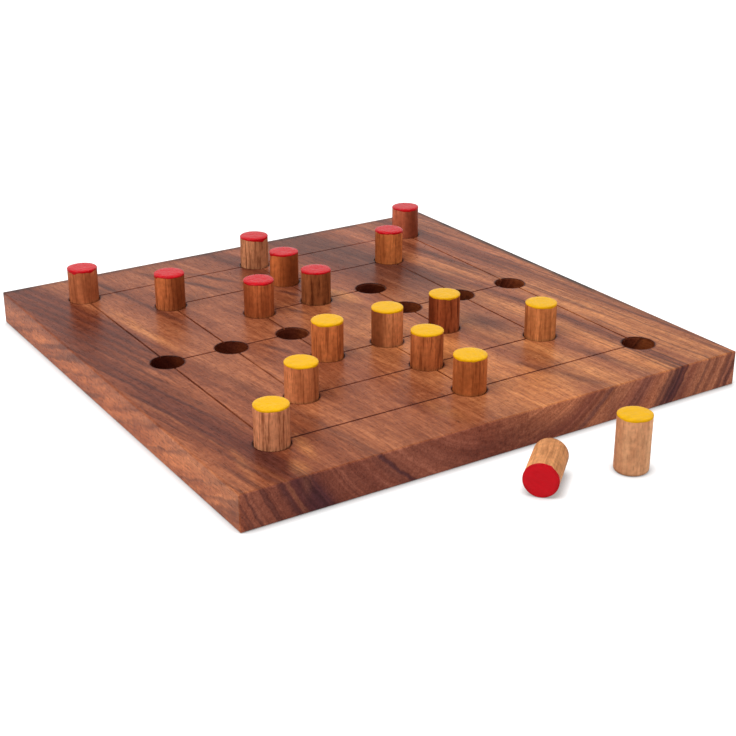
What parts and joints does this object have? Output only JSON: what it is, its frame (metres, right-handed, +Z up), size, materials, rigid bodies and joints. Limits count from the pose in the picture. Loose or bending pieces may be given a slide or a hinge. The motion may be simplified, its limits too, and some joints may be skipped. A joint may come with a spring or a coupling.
{
  "type": "nine mens morris board",
  "caption": "Square wooden nine mens morris board with scribed squares, drilled points and dowel pegs painted red or yellow at one end.",
  "frame": {"origin": "middle of the plank's underside, on the surface that it lies on", "axes": "+Z up out of the board's face; +X along the end grain edge; +Y along the grain, away from the two loose pegs"},
  "size_m": [0.24, 0.2832, 0.0321],
  "materials": {
    "board_wood": "satin oiled hardwood plank with dark streaks along its grain",
    "dowel_wood": "sanded, lightly oiled dowel with open pores along its length",
    "red_paint": "glossy dipped paint",
    "yellow_paint": "glossy dipped paint"
  },
  "bodies": {
    "board": {"board": "board_wood"},
    "red_peg_1": {"red_peg_1": "dowel_wood", "red_paint_1": "red_paint"},
    "red_peg_2": {"red_peg_2": "dowel_wood", "red_paint_2": "red_paint"},
    "red_peg_3": {"red_peg_3": "dowel_wood", "red_paint_3": "red_paint"},
    "red_peg_4": {"red_peg_4": "dowel_wood", "red_paint_4": "red_paint"},
    "red_peg_5": {"red_peg_5": "dowel_wood", "red_paint_5": "red_paint"},
    "red_peg_6": {"red_peg_6": "dowel_wood", "red_paint_6": "red_paint"},
    "red_peg_7": {"red_peg_7": "dowel_wood", "red_paint_7": "red_paint"},
    "red_peg_8": {"red_peg_8": "dowel_wood", "red_paint_8": "red_paint"},
    "red_peg_9": {"red_peg_9": "dowel_wood", "red_paint_9": "red_paint"},
    "yellow_peg_1": {"yellow_peg_1": "dowel_wood", "yellow_paint_1": "yellow_paint"},
    "yellow_peg_2": {"yellow_peg_2": "dowel_wood", "yellow_paint_2": "yellow_paint"},
    "yellow_peg_3": {"yellow_peg_3": "dowel_wood", "yellow_paint_3": "yellow_paint"},
    "yellow_peg_4": {"yellow_peg_4": "dowel_wood", "yellow_paint_4": "yellow_paint"},
    "yellow_peg_5": {"yellow_peg_5": "dowel_wood", "yellow_paint_5": "yellow_paint"},
    "yellow_peg_6": {"yellow_peg_6": "dowel_wood", "yellow_paint_6": "yellow_paint"},
    "yellow_peg_7": {"yellow_peg_7": "dowel_wood", "yellow_paint_7": "yellow_paint"},
    "yellow_peg_8": {"yellow_peg_8": "dowel_wood", "yellow_paint_8": "yellow_paint"},
    "yellow_peg_9": {"yellow_peg_9": "dowel_wood", "yellow_paint_9": "yellow_paint"}
  },
  "joints": [
    {"name": "red_peg_1_lift", "type": "slide", "parent": "board", "child": "red_peg_1", "axis": [0, 0, 1], "range_m": [0, 0.025]},
    {"name": "red_peg_2_lift", "type": "slide", "parent": "board", "child": "red_peg_2", "axis": [0, 0, 1], "range_m": [0, 0.025]},
    {"name": "red_peg_3_lift", "type": "slide", "parent": "board", "child": "red_peg_3", "axis": [0, 0, 1], "range_m": [0, 0.025]},
    {"name": "red_peg_4_lift", "type": "slide", "parent": "board", "child": "red_peg_4", "axis": [0, 0, 1], "range_m": [0, 0.025]},
    {"name": "red_peg_5_lift", "type": "slide", "parent": "board", "child": "red_peg_5", "axis": [0, 0, 1], "range_m": [0, 0.025]},
    {"name": "red_peg_6_lift", "type": "slide", "parent": "board", "child": "red_peg_6", "axis": [0, 0, 1], "range_m": [0, 0.025]},
    {"name": "red_peg_7_lift", "type": "slide", "parent": "board", "child": "red_peg_7", "axis": [0, 0, 1], "range_m": [0, 0.025]},
    {"name": "red_peg_8_lift", "type": "slide", "parent": "board", "child": "red_peg_8", "axis": [0, 0, 1], "range_m": [0, 0.025]},
    {"name": "red_peg_9_lift", "type": "slide", "parent": "board", "child": "red_peg_9", "axis": [0, 0, 1], "range_m": [0, 0.025]},
    {"name": "yellow_peg_1_lift", "type": "slide", "parent": "board", "child": "yellow_peg_1", "axis": [0, 0, 1], "range_m": [0, 0.025]},
    {"name": "yellow_peg_2_lift", "type": "slide", "parent": "board", "child": "yellow_peg_2", "axis": [0, 0, 1], "range_m": [0, 0.025]},
    {"name": "yellow_peg_3_lift", "type": "slide", "parent": "board", "child": "yellow_peg_3", "axis": [0, 0, 1], "range_m": [0, 0.025]},
    {"name": "yellow_peg_4_lift", "type": "slide", "parent": "board", "child": "yellow_peg_4", "axis": [0, 0, 1], "range_m": [0, 0.025]},
    {"name": "yellow_peg_5_lift", "type": "slide", "parent": "board", "child": "yellow_peg_5", "axis": [0, 0, 1], "range_m": [0, 0.025]},
    {"name": "yellow_peg_6_lift", "type": "slide", "parent": "board", "child": "yellow_peg_6", "axis": [0, 0, 1], "range_m": [0, 0.025]},
    {"name": "yellow_peg_7_lift", "type": "slide", "parent": "board", "child": "yellow_peg_7", "axis": [0, 0, 1], "range_m": [0, 0.025]},
    {"name": "yellow_peg_8_lift", "type": "slide", "parent": "board", "child": "yellow_peg_8", "axis": [0, 0, 1], "range_m": [0, 0.025]},
    {"name": "yellow_peg_9_lift", "type": "slide", "parent": "board", "child": "yellow_peg_9", "axis": [0, 0, 1], "range_m": [0, 0.025]}
  ]
}
